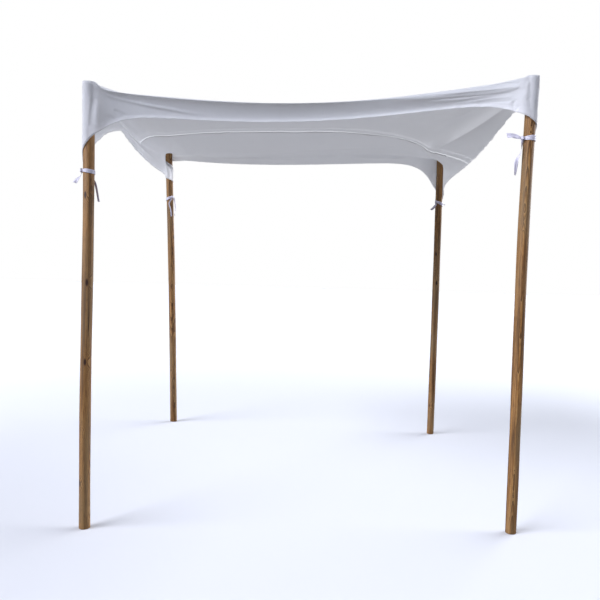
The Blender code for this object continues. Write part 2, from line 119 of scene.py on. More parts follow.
# Folds on the cloth. Each follows a path in (u, v), with its height and width (both in metres) from its
# first end to its last. A height above 0 stands up or out, one below 0 is a valley. Soft is the share of
# the path over which each end dies away, and a sharp fold comes to a crest.
folds = [
    # a light ridge out of the front left corner, under the groove
    {"path": ((-0.77, -0.872), (-0.722, -0.883), (-0.648, -0.900), (-0.571, -0.920), (-0.496, -0.934),
              (-0.425, -0.951), (-0.330, -0.957)),
     "height": (0.004, 0.009, 0.005), "width": (0.010, 0.014, 0.018), "soft": (0.15, 0.30)},
    # pleats that the front left hood draws down its face, and two dimples beside them
    {"path": ((-0.845, -0.885), (-0.875, -0.930), (-0.925, -0.985)),
     "height": (0.003, 0.004, 0.002), "width": (0.006, 0.009), "soft": (0.20, 0.10)},
    {"path": ((-0.815, -0.905), (-0.860, -0.954), (-0.890, -0.990)),
     "height": (0.004, 0.006, 0.003), "width": (0.010, 0.014), "soft": (0.20, 0.10)},
    {"path": ((-0.760, -0.940), (-0.735, -0.962), (-0.708, -0.985)), "height": (-0.005,), "width": (0.011,),
     "soft": (0.30, 0.30)},
    {"path": ((-0.825, -0.955), (-0.800, -0.972), (-0.780, -0.990)), "height": (-0.004,), "width": (0.010,),
     "soft": (0.30, 0.30)},
    # the pleats that run out of the front right corner: rim, crease, rim, band and the low pair
    {"path": ((0.80, -0.835), (0.71, -0.828), (0.62, -0.830), (0.51, -0.836)),
     "height": (0.0024, 0.0024, 0.0012), "width": (0.009, 0.008), "soft": (0.15, 0.40)},
    {"path": ((0.78, -0.880), (0.725, -0.872), (0.642, -0.863), (0.559, -0.852), (0.470, -0.842)),
     "height": (-0.003, -0.0036, -0.0018), "width": (0.008, 0.007), "soft": (0.10, 0.40)},
    {"path": ((0.79, -0.900), (0.745, -0.894), (0.639, -0.891), (0.548, -0.883), (0.468, -0.877),
              (0.391, -0.866)),
     "height": (0.0036, 0.0048, 0.0024), "width": (0.010, 0.012), "soft": (0.10, 0.30)},
    {"path": ((0.79, -0.918), (0.662, -0.923), (0.577, -0.926), (0.494, -0.920), (0.413, -0.911),
              (0.336, -0.897)),
     "height": (-0.0024, -0.0042, -0.0036), "width": (0.010, 0.014), "soft": (0.15, 0.30)},
    {"path": ((0.80, -0.938), (0.685, -0.948), (0.602, -0.960), (0.519, -0.966)),
     "height": (0.0024, 0.003, 0.0012), "width": (0.010, 0.012), "soft": (0.15, 0.35)},
    {"path": ((0.82, -0.955), (0.74, -0.966), (0.62, -0.978)), "height": (-0.0024, -0.0018), "width": (0.009,),
     "soft": (0.20, 0.40)},
    # creases down the face of the front right hood
    {"path": ((0.874, -0.950), (0.905, -0.972), (0.950, -0.990)), "height": (-0.003, -0.0035), "width": (0.007,),
     "soft": (0.20, 0.20)},
    {"path": ((0.810, -0.870), (0.843, -0.915), (0.868, -0.950)), "height": (0.003,), "width": (0.009,),
     "soft": (0.25, 0.25)},
    {"path": ((0.812, -0.955), (0.838, -0.982), (0.870, -0.996)), "height": (-0.007,), "width": (0.012,),
     "soft": (0.25, 0.20)},
    # soft folds that fan out of the front right corner under the top
    {"path": ((0.70, -0.66), (0.628, -0.536), (0.557, -0.431), (0.476, -0.308), (0.391, -0.150)),
     "height": (-0.005, -0.006, -0.002), "width": (0.020, 0.040), "soft": (0.20, 0.40)},
    {"path": ((0.79, -0.70), (0.748, -0.599), (0.665, -0.451), (0.574, -0.179)),
     "height": (-0.006, -0.007, -0.002), "width": (0.022, 0.045), "soft": (0.20, 0.40)},
    {"path": ((0.52, -0.56), (0.422, -0.431), (0.333, -0.351), (0.225, -0.270)),
     "height": (-0.005, -0.006, -0.002), "width": (0.018, 0.035), "soft": (0.20, 0.40)},
    # a crease in front of the seam
    {"path": ((-0.80, -0.080), (-0.40, -0.087), (0.0, -0.088), (0.40, -0.080)),
     "height": (-0.003, -0.005, -0.003), "width": (0.012,), "soft": (0.15, 0.30), "sharp": True},
    # the cloth hangs in a soft crest along the seam's right half, and breaks upwards along the back skirt
    {"path": ((0.10, -0.010), (0.30, -0.030), (0.50, -0.060), (0.70, -0.062), (0.88, -0.085)),
     "height": (-0.006, -0.024, -0.034), "width": (0.10, 0.20), "soft": (0.35, 0.15), "sharp": True},
    {"path": ((-0.50, 0.86), (-0.28, 0.82), (-0.09, 0.74), (0.09, 0.66), (0.245, 0.61), (0.40, 0.56),
              (0.53, 0.47), (0.62, 0.38), (0.72, 0.30)),
     "height": (0.006, 0.020, 0.022), "width": (0.07, 0.13), "soft": (0.25, 0.20), "sharp": True},
    # long shallow folds along the back skirt and down the left one
    {"path": ((0.30, 0.905), (0.393, 0.897), (0.499, 0.860), (0.62, 0.830)),
     "height": (-0.004, -0.006, -0.004), "width": (0.010, 0.014), "soft": (0.30, 0.30)},
    {"path": ((-0.62, 0.860), (-0.385, 0.894), (-0.122, 0.908), (0.10, 0.915)),
     "height": (-0.004, -0.005, -0.003), "width": (0.014, 0.016), "soft": (0.30, 0.30)},
    {"path": ((-0.905, -0.44), (-0.910, -0.25), (-0.900, -0.04), (-0.885, 0.385), (-0.870, 0.60)),
     "height": (0.006, 0.009, 0.005), "width": (0.020, 0.024), "soft": (0.20, 0.20)},
    {"path": ((-0.963, -0.42), (-0.950, -0.245), (-0.945, 0.027), (-0.948, 0.439)),
     "height": (-0.006, -0.008, -0.004), "width": (0.016, 0.022), "soft": (0.20, 0.25)},
    {"path": ((-0.850, -0.42), (-0.848, -0.319), (-0.845, -0.153), (-0.840, 0.019)),
     "height": (-0.006, -0.007, -0.003), "width": (0.014, 0.020), "soft": (0.20, 0.30)},
]
# The hem's edge, turned outwards and puckered along its stitches.
hemCurl = {"out": 0.0055, "reach": 0.010, "pucker": 0.45}
# How far each hood's tip is wound round its pole, in degrees, how late that starts on the way down, and how
# far along the hems it reaches: on the front or back edge first, then on the left or right edge.
hoodTurns = {
    "front_left": {"turn": -60, "late": 1.0, "reach": (0.040, 0.040)},
    "front_right": {"turn": 75, "late": 1.0, "reach": (0.040, 0.040)},
    "back_left": {"turn": 365, "late": 3.2, "reach": (0.050, 0.035)},
}

# Ties. Each is one ribbon, wound twice round its pole and knotted. Drop is from the pole's top to the
# middle of the winding. The two turns part by spread on the side away from the knot, and the winding
# leans up towards leanAt. A tail's path gives (angle, distance from the pole's middle, drop below the
# winding), and its widths and twists run from the knot to the cut end. Angles are in degrees from +X
# towards the back.
ties = {
    "front_left": {
        "drop": 0.467, "width": 0.029, "knot": 170.0, "ribbon": 0.0145, "spread": 0.0040,
        "lean": 0.0040, "leanAt": 180,
        "tails": (
            {"path": ((172, 0.0412, 0.0130), (174, 0.045, 0.022), (181, 0.056, 0.040), (184, 0.074, 0.062)),
             "widths": (0.010, 0.018, 0.024, 0.020), "twists": (10, 35, 60, 95), "face": None},
            {"path": ((151.5, 0.0410, 0.004), (128, 0.040, 0.010), (95, 0.039, 0.024), (60, 0.039, 0.052),
                      (30, 0.041, 0.088), (8, 0.052, 0.158)),
             "widths": (0.010, 0.012, 0.012, 0.015), "twists": (0, 10, 30, 50), "face": None},
        ),
    },
    "front_right": {
        "drop": 0.313, "width": 0.034, "knot": 200.0, "ribbon": 0.0190, "spread": 0.0075,
        "lean": 0.0015, "leanAt": 0,
        "tails": (
            {"path": ((200, 0.0528, 0.0), (190, 0.080, -0.010), (184, 0.118, -0.014)),
             "widths": (0.013, 0.022, 0.029, 0.024), "twists": (0, 12, -8, 20), "face": (0.25, -1.0, 0.35)},
            {"path": ((200, 0.0420, 0.0116), (198, 0.044, 0.070), (191, 0.062, 0.115), (190, 0.066, 0.190)),
             "widths": (0.012, 0.013, 0.014, 0.020, 0.009), "twists": (0, 70, 120, 180, 200),
             "face": (0.0, -1.0, 0.0)},
        ),
    },
    "back_left": {
        "drop": 0.388, "width": 0.034, "knot": 305.0, "ribbon": 0.0200, "spread": 0.0040,
        "lean": 0.0120, "leanAt": 0,
        "tails": (
            {"path": ((303, 0.0415, 0.0132), (270, 0.040, 0.050), (286, 0.040, 0.100), (296, 0.041, 0.160)),
             "widths": (0.010, 0.011, 0.010, 0.013), "twists": (0, 15, -10, 10), "face": None},
            {"path": ((338, 0.0381, 0.004), (344, 0.046, 0.040), (344, 0.050, 0.100), (338, 0.044, 0.155)),
             "widths": (0.012, 0.013, 0.018, 0.016), "twists": (0, 50, 80, 130), "face": (0.0, -1.0, 0.0)},
        ),
    },
    "back_right": {
        "drop": 0.392, "width": 0.036, "knot": 225.0, "ribbon": 0.0215, "spread": 0.0060,
        "lean": 0.0130, "leanAt": 180,
        "tails": (
            {"path": ((224, 0.0412, 0.0121), (222, 0.044, 0.024), (208, 0.058, 0.044), (198, 0.074, 0.062)),
             "widths": (0.011, 0.016, 0.022, 0.020), "twists": (0, 20, 30, 50), "face": (0.0, -1.0, 0.2)},
            {"path": ((243, 0.0410, 0.002), (290, 0.042, 0.010), (330, 0.056, 0.020)),
             "widths": (0.012, 0.016, 0.019), "twists": (0, 20, 55), "face": None},
        ),
    },
}
ribbon = {
    "thick": 0.0005, "inner": 0.0311, "step": 0.0012, "crinkle": 0.0006, "wave": 0.0025, "slant": 0.35,
    "knotSize": (0.0055, 0.0100, 0.0105), "knotAt": 0.0415,
    "turnSteps": 130, "turnAcross": 9, "knotSteps": 40, "tailSteps": 60, "across": 7,
}
# The knot's two laps: over the winding from top to bottom, then across it. Angles are in degrees.
knotLaps = (
    {"from": -150, "sweep": 400, "width": 0.0135, "deeper": 0.0},
    {"from": -115, "sweep": 235, "width": 0.0125, "deeper": 0.0015},
)
# The two widths of cloth are joined with their raw edges underneath, as a lip pressed to the back.
seam = {"from": -0.90, "to": 0.915, "steps": 260, "tall": 0.0105, "lean": -78, "thick": 0.0014, "gap": 0.0009}


def hexColour(code):
    # sRGB hex to the linear colour that a shader takes
    channels = [int(code[i:i + 2], 16) / 255 for i in (1, 3, 5)]
    return (*(c / 12.92 if c <= 0.04045 else ((c + 0.055) / 1.055) ** 2.4 for c in channels), 1.0)


def addNode(tree, kind, settings=None, links=None):
    node = tree.nodes.new(kind)
    for key, value in (settings or {}).items():
        if isinstance(key, int) or key in node.inputs:
            node.inputs[key].default_value = value
        else:
            setattr(node, key, value)
    for key, source in (links or {}).items():
        tree.links.new(source, node.inputs[key])
    return node


def maths(tree, operation, *values):
    # each value is a number or a socket
    settings, links = {"operation": operation}, {}
    for socket, value in enumerate(values):
        (links if isinstance(value, bpy.types.NodeSocket) else settings)[socket] = value
    return addNode(tree, "ShaderNodeMath", settings, links).outputs["Value"]


def mapRange(tree, value, low, high, most=1.0, least=0.0, kind="LINEAR"):
    settings = {"interpolation_type": kind, "From Min": low, "From Max": high, "To Min": least, "To Max": most}
    return addNode(tree, "ShaderNodeMapRange", settings, {"Value": value}).outputs["Result"]


def noiseOn(tree, place, scale, detail, stretch=None):
    if stretch:
        place = addNode(tree, "ShaderNodeMapping", {"Scale": stretch}, {"Vector": place}).outputs["Vector"]
    return addNode(tree, "ShaderNodeTexNoise", {"Scale": scale, "Detail": detail}, {"Vector": place})


def mixColours(tree, share, first, second):
    # each colour is an sRGB code or a socket
    settings, links = {"data_type": "RGBA"}, {0: share}
    for socket, colour in ((6, first), (7, second)):
        if isinstance(colour, str):
            settings[socket] = hexColour(colour)
        else:
            links[socket] = colour
    return addNode(tree, "ShaderNodeMix", settings, links).outputs[2]


def mixShaders(tree, share, first, second):
    links = {1: first.outputs[0], 2: second.outputs[0]}
    if isinstance(share, float):
        return addNode(tree, "ShaderNodeMixShader", {0: share}, links)
    return addNode(tree, "ShaderNodeMixShader", {}, {0: share, **links})


def bumpOn(tree, height, strength, distance, under=None):
    links = {"Height": height, "Normal": under} if under else {"Height": height}
    return addNode(tree, "ShaderNodeBump", {"Strength": strength, "Distance": distance}, links).outputs["Normal"]


def newMaterial(name):
    material = bpy.data.materials.new(name)
    material.use_nodes = True
    tree = material.node_tree
    tree.nodes.clear()
    return material, tree


def newPiece(name, bm, material, recalculate=True):
    if recalculate:
        bmesh.ops.recalc_face_normals(bm, faces=bm.faces)
    mesh = bpy.data.meshes.new(name)
    bm.to_mesh(mesh)
    bm.free()
    mesh.shade_smooth()
    mesh.materials.append(material)
    piece = bpy.data.objects.new(name, mesh)
    bpy.context.scene.collection.objects.link(piece)
    return piece


# Camera
yaw, pitch, roll = (math.radians(view[key]) for key in ("yaw", "pitch", "roll"))
forward = np.array((math.sin(yaw) * math.cos(pitch), math.cos(yaw) * math.cos(pitch), math.sin(pitch)))
level = np.array((math.cos(yaw), -math.sin(yaw), 0.0))
upright = np.cross(level, forward)
right = math.cos(roll) * level + math.sin(roll) * upright
up = math.cos(roll) * upright - math.sin(roll) * level
cameraData = bpy.data.cameras.new("camera")
cameraData.lens = view["lens"]
cameraData.sensor_width = 36
cameraData.clip_end = 200
camera = bpy.data.objects.new("camera", cameraData)
turn = np.eye(4)
turn[:3, 0], turn[:3, 1], turn[:3, 2], turn[:3, 3] = right, up, -forward, view["place"]
camera.matrix_world = Matrix(turn.tolist())
bpy.context.scene.collection.objects.link(camera)
bpy.context.scene.camera = camera
bpy.context.scene.view_settings.view_transform = "Standard"

# Sky and suns
world = bpy.data.worlds.new("pale sky")
world.use_nodes = True
bpy.context.scene.world = world
tree = world.node_tree
tree.nodes.clear()
look = addNode(tree, "ShaderNodeTexCoord")
way = addNode(tree, "ShaderNodeSeparateXYZ", {}, {"Vector": look.outputs["Generated"]})
sides = mapRange(tree, way.outputs["Y"], -1.0, 1.0, light["back"], light["front"])
height = mapRange(tree, way.outputs["Z"], 0.05, 0.85)
power = addNode(tree, "ShaderNodeMix", {"data_type": "FLOAT", 3: light["zenith"]}, {0: height, 2: sides})
sky = addNode(tree, "ShaderNodeBackground", {"Color": hexColour(light["sky"])}, {"Strength": power.outputs[0]})
plain = addNode(tree, "ShaderNodeBackground", {"Color": hexColour(light["backdrop"]), "Strength": 1.0})
both = mixShaders(tree, addNode(tree, "ShaderNodeLightPath").outputs["Is Camera Ray"], sky, plain)
addNode(tree, "ShaderNodeOutputWorld", {}, {"Surface": both.outputs["Shader"]})
for name, lamp in suns.items():
    sunData = bpy.data.lights.new(name, "SUN")
    sunData.energy = lamp["power"]
    sunData.angle = math.radians(lamp["spread"])
    sunData.color = hexColour(lamp["colour"])[:3]
    sun = bpy.data.objects.new(name, sunData)
    sun.rotation_euler = [math.radians(a) for a in (*lamp["tilt"], 0)]
    bpy.context.scene.collection.objects.link(sun)

# Floor, paler towards its edges
floorMaterial, tree = newMaterial("matt floor")
place = addNode(tree, "ShaderNodeTexCoord")
away = addNode(tree, "ShaderNodeVectorMath", {"operation": "LENGTH"}, {0: place.outputs["Object"]})
fade = mapRange(tree, away.outputs["Value"], floor["fadeFrom"], floor["fadeTo"], kind="SMOOTHSTEP")
tone = mixColours(tree, fade, floor["near"], floor["far"])
shown = addNode(tree, "ShaderNodeBsdfPrincipled", {"Roughness": 0.9}, {"Base Color": tone})
bounced = addNode(tree, "ShaderNodeBsdfPrincipled", {"Roughness": 0.9, "Base Color": hexColour(floor["bounce"])})
both = mixShaders(tree, addNode(tree, "ShaderNodeLightPath").outputs["Is Camera Ray"], bounced, shown)
addNode(tree, "ShaderNodeOutputMaterial", {}, {"Surface": both.outputs["Shader"]})
bm = bmesh.new()
bmesh.ops.create_grid(bm, x_segments=1, y_segments=1, size=floor["size"] / 2)
floorPiece = newPiece("floor", bm, floorMaterial)
print("camera, light and floor set")


def jerseyMaterial(name, dark, pale, clear, doubled):
    # white stretch jersey: knitted, so it is matt, slightly fuzzy and lets some of the sky through. At the
    # doubled hem its colour is whiter in a ragged band: a painted highlight along the hem's turned edge
    material, tree = newMaterial(name)
    place = addNode(tree, "ShaderNodeTexCoord").outputs["Object"]
    # loose rumples about 60 mm across
    rumple = noiseOn(tree, place, 16.0, 3.0).outputs["Fac"]
    # the knit's rows are under 1 mm, drawn 4 mm apart so that they show
    knit = noiseOn(tree, place, 250.0, 1.0).outputs["Fac"]
    normal = bumpOn(tree, knit, 0.10, 0.0006, bumpOn(tree, rumple, 0.25, 0.010))
    patches = noiseOn(tree, place, 2.2, 2.0).outputs["Fac"]
    colour, thin = mixColours(tree, patches, dark, pale), clear
    if doubled:
        flat = addNode(tree, "ShaderNodeUVMap", {"uv_map": "flat"})
        ways = addNode(tree, "ShaderNodeSeparateXYZ", {}, {"Vector": flat.outputs["UV"]})
        ring = maths(tree, "MAXIMUM", *(maths(tree, "ABSOLUTE", ways.outputs[key]) for key in "XY"))
        ragged = noiseOn(tree, place, 9.0, 1.0).outputs["Fac"]
        reach = maths(tree, "MULTIPLY_ADD", ragged, 0.020, ring)
        edge = cloth["metresPerUnit"]
        # painted highlight: the colour turns whiter in a ragged band along the hem
        hem = mapRange(tree, reach, edge - 0.006, edge - 0.001, 0.85)
        colour = mixColours(tree, hem, colour, "#fbfafc")
        # the seam's stitches stretch the cloth beside them, so that more light comes through: (place, half
        # width, share)
        for row, half, share in ((-0.014, 0.013, 0.34), (-0.113, 0.012, 0.16)):
            near = maths(tree, "ABSOLUTE", maths(tree, "ADD", ways.outputs["Y"], -row))
            thin = maths(tree, "ADD", mapRange(tree, near, half + 0.003, half - 0.003, share), thin)
    face = addNode(tree, "ShaderNodeBsdfPrincipled",
                   {"Roughness": 0.85, "Sheen Weight": 0.15, "Sheen Roughness": 0.5, "Specular IOR Level": 0.3},
                   {"Base Color": colour, "Normal": normal})
    through = addNode(tree, "ShaderNodeBsdfTranslucent", {"Color": hexColour("#f6f5f3")}, {"Normal": normal})
    both = mixShaders(tree, thin, face, through)
    addNode(tree, "ShaderNodeOutputMaterial", {}, {"Surface": both.outputs["Shader"]})
    return material


def ribbonMaterial():
    # polyester satin ribbon: smooth, faintly lilac, with a soft gloss, fine ribs across and firm woven edges
    material, tree = newMaterial("lilac white satin ribbon")
    place = addNode(tree, "ShaderNodeUVMap", {"uv_map": "flat"}).outputs["UV"]
    # the ribs are about 0.3 mm apart, drawn 3 mm apart so that they show
    ribs = addNode(tree, "ShaderNodeTexWave", {"Scale": 105.0, "bands_direction": "X", "Distortion": 0.6},
                   {"Vector": place})
    # soft creases that run along the ribbon, 4 to 8 mm apart; the same pattern paints their hollows darker, as
    # painted shade
    crease = noiseOn(tree, place, 1.0, 2.0, (18, 170, 1)).outputs["Fac"]
    tone = mixColours(tree, crease, "#cfc9da", "#f3eff6")
    normal = bumpOn(tree, ribs.outputs["Fac"], 0.2, 0.0003, bumpOn(tree, crease, 0.7, 0.0012))
    face = addNode(tree, "ShaderNodeBsdfPrincipled",
                   {"Roughness": 0.42, "Sheen Weight": 0.25, "Sheen Roughness": 0.4},
                   {"Base Color": tone, "Normal": normal})
    through = addNode(tree, "ShaderNodeBsdfTranslucent", {"Color": hexColour("#ece6fa")}, {"Normal": normal})
    both = mixShaders(tree, 0.18, face, through)
    addNode(tree, "ShaderNodeOutputMaterial", {}, {"Surface": both.outputs["Shader"]})
    return material


def pineMaterial():
    # brown-stained pine stake, sawn and turned: growth rings cut lengthwise, dark late wood, knots that the
    # grain flows round, drying checks, and stain that has gone darker in the pores
    material, tree = newMaterial("stained pine")
    place = addNode(tree, "ShaderNodeAttribute", {"attribute_name": "grain"}).outputs["Vector"]
    wander = noiseOn(tree, place, 1.0, 2.0, (6, 6, 1.3)).outputs["Color"]
    shift = addNode(tree, "ShaderNodeVectorMath", {"operation": "SCALE", "Scale": 0.060}, {0: wander})
    bent = addNode(tree, "ShaderNodeVectorMath", {"operation": "ADD"}, {0: place, 1: shift.outputs["Vector"]})
    # knots 10 to 20 mm across, one every 200 mm or so
    cells = addNode(tree, "ShaderNodeMapping", {"Scale": (11, 11, 4.5)}, {"Vector": place})
    knots = addNode(tree, "ShaderNodeTexVoronoi", {"Scale": 1.0, "Randomness": 1.0},
                    {"Vector": cells.outputs["Vector"]}).outputs["Distance"]
    knot = mapRange(tree, knots, 0.12, 0.05, kind="SMOOTHSTEP")
    flow = mapRange(tree, knots, 0.40, 0.05, 0.016, kind="SMOOTHSTEP")
    pushed = addNode(tree, "ShaderNodeVectorMath", {"operation": "ADD"}, {0: bent.outputs["Vector"], 1: flow})
    # growth rings 4 mm apart
    rings = addNode(tree, "ShaderNodeTexWave",
                    {"wave_type": "RINGS", "rings_direction": "Z", "wave_profile": "SAW", "Scale": 80.0,
                     "Distortion": 2.2, "Detail": 2.0, "Detail Scale": 0.6},
                    {"Vector": pushed.outputs["Vector"]})
    ramp = addNode(tree, "ShaderNodeValToRGB", {}, {"Fac": rings.outputs["Fac"]})
    ramp.color_ramp.elements[0].color = hexColour("#c0925a")
    ramp.color_ramp.elements[1].color = hexColour("#4f3217")
    ramp.color_ramp.elements.new(0.55).color = hexColour("#a2713a")
    tone, grains, shares = ramp.outputs["Color"], [], []
    for stretch, detail, low, high, most, stain in (
            # stain in streaks about 10 mm wide and 400 mm long
            ((85, 85, 2.4), 4.0, 0.40, 0.68, 0.80, "#4a2f17"),
            # short dark flecks, 3 mm wide and 40 mm long
            ((210, 210, 22), 3.0, 0.50, 0.72, 0.60, "#4a2c14"),
            # broad paler and greyer lengths
            ((14, 14, 2.0), 3.0, 0.45, 0.75, 0.55, "#8f7d5d"),
            # drying checks: dark cracks about 1 mm wide along the grain
            ((150, 150, 1.6), 1.0, 0.70, 0.74, 1.0, "#2b1a0d")):
        grains.append(noiseOn(tree, place, 1.0, detail, stretch).outputs["Fac"])
        shares.append(mapRange(tree, grains[-1], low, high, most))
        tone = mixColours(tree, shares[-1], tone, stain)
    tone = mixColours(tree, knot, tone, "#3a2010")
    # the cracks are cut into the streaks' relief
    deep = maths(tree, "MULTIPLY_ADD", shares[-1], -1.5, grains[0])
    face = addNode(tree, "ShaderNodeBsdfPrincipled", {"Roughness": 0.62, "Specular IOR Level": 0.4},
                   {"Base Color": tone, "Normal": bumpOn(tree, deep, 0.5, 0.0008)})
    addNode(tree, "ShaderNodeOutputMaterial", {}, {"Surface": face.outputs["BSDF"]})
    return material


jersey = jerseyMaterial("white stretch jersey", "#edeef0", "#f5f4f6", 0.46, True)
# the seam's lip is coloured whiter than the cloth: a painted highlight along the seam
seamHighlightJersey = jerseyMaterial("seam jersey with painted highlight", "#f5f4f6", "#fcfbfc", 0.45, False)
satin, pine = ribbonMaterial(), pineMaterial()
print("materials made")


def poleAxis(name, z):
    # the middle of a pole at height z, for one height or an array of them
    pole = poles[name]
    share = z / pole["top"][2]
    bend = pole["bow"] * np.sin(np.pi * share) + pole["sway"] * np.sin(2 * np.pi * share)
    x = pole["foot"][0] + (pole["top"][0] - pole["foot"][0]) * share + bend
    y = pole["foot"][1] + (pole["top"][1] - pole["foot"][1]) * share
    return np.stack((x, y), axis=-1)


def makePole(name, number):
    height = poles[name]["top"][2]
    bm = bmesh.new()
    bmesh.ops.create_cone(bm, cap_ends=True, segments=poleShape["sides"], radius1=poleRadius,
                          radius2=poleRadius, depth=height)
    ends = [e for e in bm.edges if abs(e.verts[0].co.z - e.verts[1].co.z) < 0.1]
    bmesh.ops.bevel(bm, geom=ends, offset=poleShape["edgeRound"], segments=3, profile=0.5, material=-1,
                    affect="EDGES")
    tall = [e for e in bm.edges if abs(e.verts[0].co.z - e.verts[1].co.z) > 0.5]
    bmesh.ops.subdivide_edges(bm, edges=tall, cuts=poleShape["rings"])
    grain = bm.verts.layers.float_vector.new("grain")
    turn = 2.1 * number
    for vert in bm.verts:
        x, y, z = vert.co.x, vert.co.y, vert.co.z + height / 2
        angle = math.atan2(y, x)
        dip = poleShape["flats"] * math.sin(3 * angle + 2.3 * z + turn)
        dip += poleShape["waves"] * math.sin(2 * angle - 9.0 * z + 2 * turn) - poleShape["flats"]
        size = 1 + dip / poleRadius
        middle = poleAxis(name, z)
        # the grain's own axis lies off the pole's, to one side
        vert[grain] = (x + 0.045 * math.cos(turn), y + 0.045 * math.sin(turn), z + 3.7 * number)
        vert.co = (x * size + middle[0], y * size + middle[1], z)
    piece = newPiece("pole_detail_" + name, bm, pine)
    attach(piece, "root")
    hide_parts("pole_" + name)


for number, poleName in enumerate(poles):
    makePole(poleName, number)
print("poles made")


def smoothStep(x):
    x = np.clip(x, 0, 1)
    return x * x * (3 - 2 * x)


def cornerMix(a, b):
    names = ("front_left", "front_right", "back_left", "back_right")
    shares = ((1 - a) * (1 - b), (1 + a) * (1 - b), (1 - a) * (1 + b), (1 + a) * (1 + b))
    tops = [np.subtract(poles[n]["top"], (0, 0, poles[n]["dip"])) for n in names]
    return sum(np.outer(share / 4, top) for share, top in zip(shares, tops))


def topPoints(u, v):
    # the stretched top: the pole tops mixed, with the middle and the four edges drooping
    a, b = u / cloth["foldAt"], v / cloth["foldAt"]
    point = cornerMix(a, b)
    point[:, 2] += cloth["touchGap"] - cloth["centreSag"] * (1 - a * a) * (1 - b * b)
    for side, out in (("front", -b), ("back", b), ("right", a), ("left", -a)):
        along = a if side in ("front", "back") else b
        edge = edges[side]
        near = np.maximum(0.0, out) ** edge["power"] * (1 - along * along)
        point[:, 2] -= edge["sag"] * (1 + edge["skew"] * along) * near
        drawn = np.clip(1 - along * along, 0, 1) ** (edge["pullPower"] - 1)
        point[:, :2] -= np.outer(edge["foldPull"] * near * drawn, edgeWays[side][0])
    return point


def edgePoints(side, s, z, radius, pull):
    # points of an edge: round the pole at its ends, drawn in between them
    first, second = edges[side]["ends"]
    out, alongWay = edgeWays[side]
    toEnd = 1 - np.abs(s)
    hug = np.exp(-((toEnd / cloth["hugReach"]) ** 2))
    turn = np.clip(1 - toEnd / cloth["wrapReach"], 0, 1)
    drawn = pull * np.clip(1 - s * s, 0, 1) ** edges[side]["pullPower"]
    offset = np.outer(radius * (hug * (1 - turn) + math.sqrt(0.5) * turn) - drawn, out)
    offset += np.outer(np.copysign(radius * math.sqrt(0.5) * turn, s), alongWay)
    share = ((1 + s) / 2)[:, None]
    plan = poleAxis(first, z) * (1 - share) + poleAxis(second, z) * share + offset
    return np.column_stack((plan, z))


def foldHeight(side, s):
    edge = edges[side]
    first, second = (poles[name] for name in edge["ends"])
    share = (1 + s) / 2
    line = first["top"][2] * (1 - share) + second["top"][2] * share
    dip = (first["dip"] * (1 - share) + second["dip"] * share) * (1 - nearPole(s, cloth["dipReach"]))
    return line + cloth["touchGap"] - dip - edge["sag"] * (1 - s * s) * (1 + edge["skew"] * s)


def plainDepth(side, s):
    edge = edges[side]
    depth = edge["depth"] + edge["tilt"] * s
    depth = depth + edge["drops"][0] * np.exp(-(1 + s) / edge["reach"][0])
    depth = depth + edge["drops"][1] * np.exp(-(1 - s) / edge["reach"][1])
    rise, place, width = edge["peak"]
    return depth - rise * np.exp(-np.abs(s - place) / width)


def hemDepth(side, s):
    # the hem below the fold; at each pole its tip runs down under the tie
    depth = plainDepth(side, s)
    for end, name in zip((-1, 1), edges[side]["ends"]):
        tip = ties[name]["drop"] - ties[name]["width"] / 2
        extra = tip - plainDepth(side, np.array(float(end)))
        depth = depth + extra * np.exp(-np.abs(s - end) / cloth["tipReach"])
    return depth


def nearPole(s, reach):
    return np.exp(-(((1 - np.abs(s)) / reach) ** 2))


def blendCurve(points, t):
    return sum(p * (math.comb(3, i) * t**i * (1 - t) ** (3 - i))[:, None] for i, p in enumerate(points))


